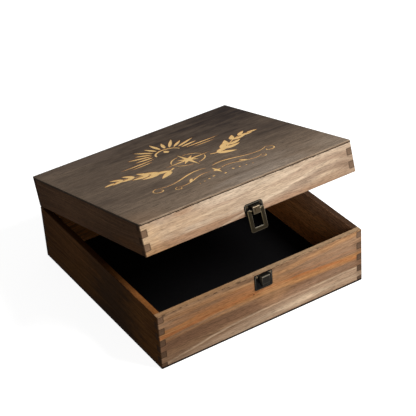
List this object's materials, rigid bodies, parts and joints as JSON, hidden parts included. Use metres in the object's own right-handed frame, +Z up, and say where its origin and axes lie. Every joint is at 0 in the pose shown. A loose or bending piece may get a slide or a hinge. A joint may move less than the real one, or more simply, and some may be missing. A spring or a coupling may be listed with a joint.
{
  "type": "keepsake box",
  "caption": "Shallow square wooden box with finger-jointed corners, a hinged lid standing part open, a loop clasp on the front and a felt-lined floor.",
  "frame": {"origin": "middle of the underside of the bottom panel", "axes": "+Z up, front with the clasp faces -Y, hinges at +Y, X along the front; the lid stands 15.5 degrees open"},
  "size_m": [0.3, 0.3181, 0.1987],
  "materials": {
    "pine_board": "brown-stained pine, satin",
    "stained_panel": "dark grey-brown stain, satin",
    "black_felt": "matt felt",
    "dark_bronze": "antique bronze, worn edges",
    "loop_bronze": "antique bronze, rubbed lighter",
    "bronze_fastener": "antique bronze"
  },
  "bodies": {
    "tray": {"tray_front_board": "pine_board", "tray_back_board": "pine_board", "tray_left_board": "pine_board", "tray_right_board": "pine_board", "tray_bottom_panel": "stained_panel", "floor_lining": "black_felt", "catch_plate": "dark_bronze", "catch_nails": "bronze_fastener", "left_hinge_tray_leaf": "dark_bronze", "right_hinge_tray_leaf": "dark_bronze", "left_hinge_pin": "bronze_fastener", "right_hinge_pin": "bronze_fastener", "tray_hinge_screws": "bronze_fastener"},
    "lid": {"lid_front_board": "pine_board", "lid_back_board": "pine_board", "lid_left_board": "pine_board", "lid_right_board": "pine_board", "lid_top_panel": "stained_panel", "left_hinge_lid_leaf": "dark_bronze", "right_hinge_lid_leaf": "dark_bronze", "lid_hinge_screws": "bronze_fastener", "clasp_plate": "dark_bronze", "clasp_nails": "bronze_fastener"},
    "clasp_loop": {"clasp_loop": "loop_bronze"}
  },
  "joints": [
    {"name": "lid_hinge", "type": "hinge", "parent": "tray", "child": "lid", "pos_m": [0, 0.15215, 0.0778], "axis": [-1, 0, 0], "range_deg": [-15.5, 84.5]},
    {"name": "loop_pivot", "type": "hinge", "parent": "lid", "child": "clasp_loop", "pos_m": [0, -0.14086, 0.16425], "axis": [-1, 0, 0], "range_deg": [0, 175]}
  ]
}
